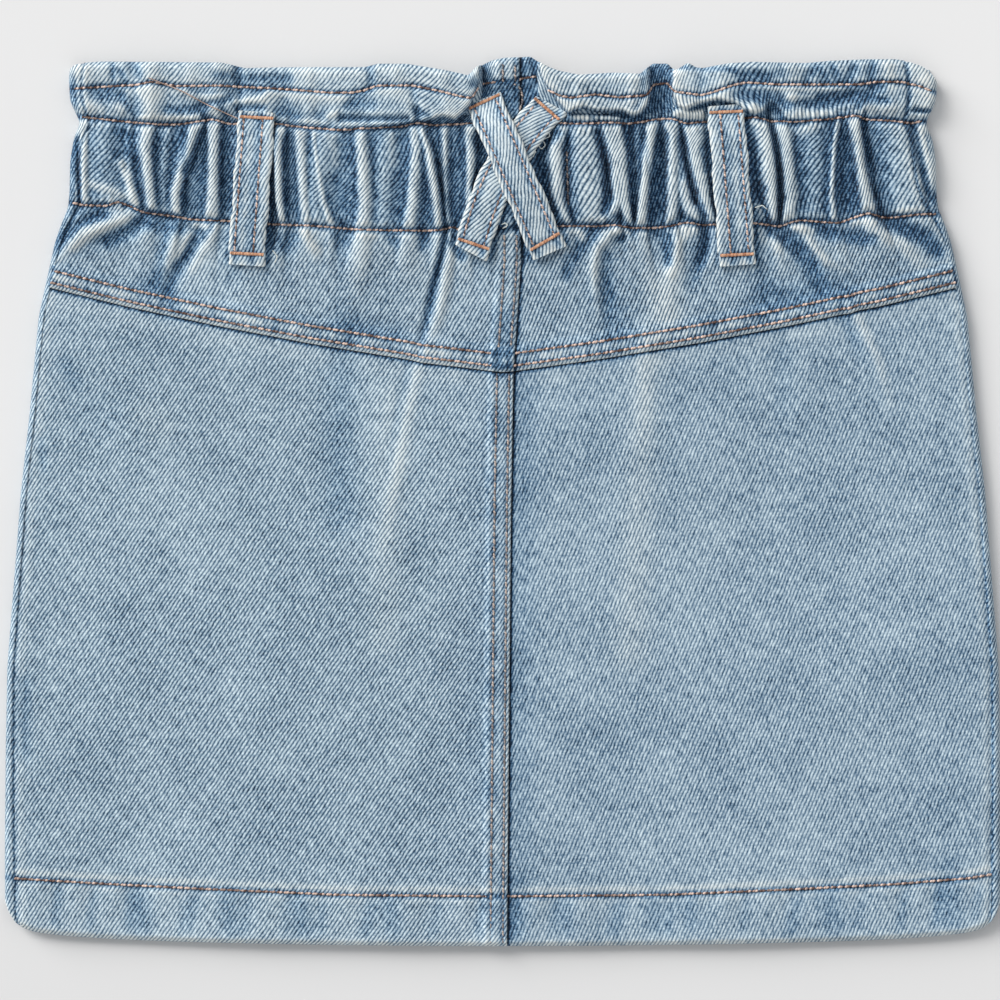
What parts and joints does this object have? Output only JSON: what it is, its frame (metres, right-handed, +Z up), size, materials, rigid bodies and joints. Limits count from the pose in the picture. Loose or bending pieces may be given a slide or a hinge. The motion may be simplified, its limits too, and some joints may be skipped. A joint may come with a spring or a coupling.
{
  "type": "denim skirt",
  "caption": "Child's denim skirt laid flat with its back up: gathered elastic waist with a ruffle above it, curved yoke seam, belt loops and a crossed pair at the centre.",
  "frame": {"origin": "centre of the skirt's footprint on the surface it lies on", "axes": "+X to the right across the upturned back, +Y from the hem to the waist, +Z up from the surface through the front and then the back"},
  "size_m": [0.3326, 0.2954, 0.0135],
  "materials": {
    "denim": "light-washed indigo twill, pale on the ridges and dark in the pleats",
    "thread": "faded copper topstitching, brighter on the belt loops"
  },
  "bodies": {
    "root": {"front_panel": "denim", "back_panel_left": "denim", "back_panel_right": "denim", "back_yoke_left": "denim", "back_yoke_right": "denim", "belt_loop_left": "denim", "belt_loop_right": "denim", "cross_loop_under": "denim", "cross_loop_over": "denim"}
  },
  "joints": []
}
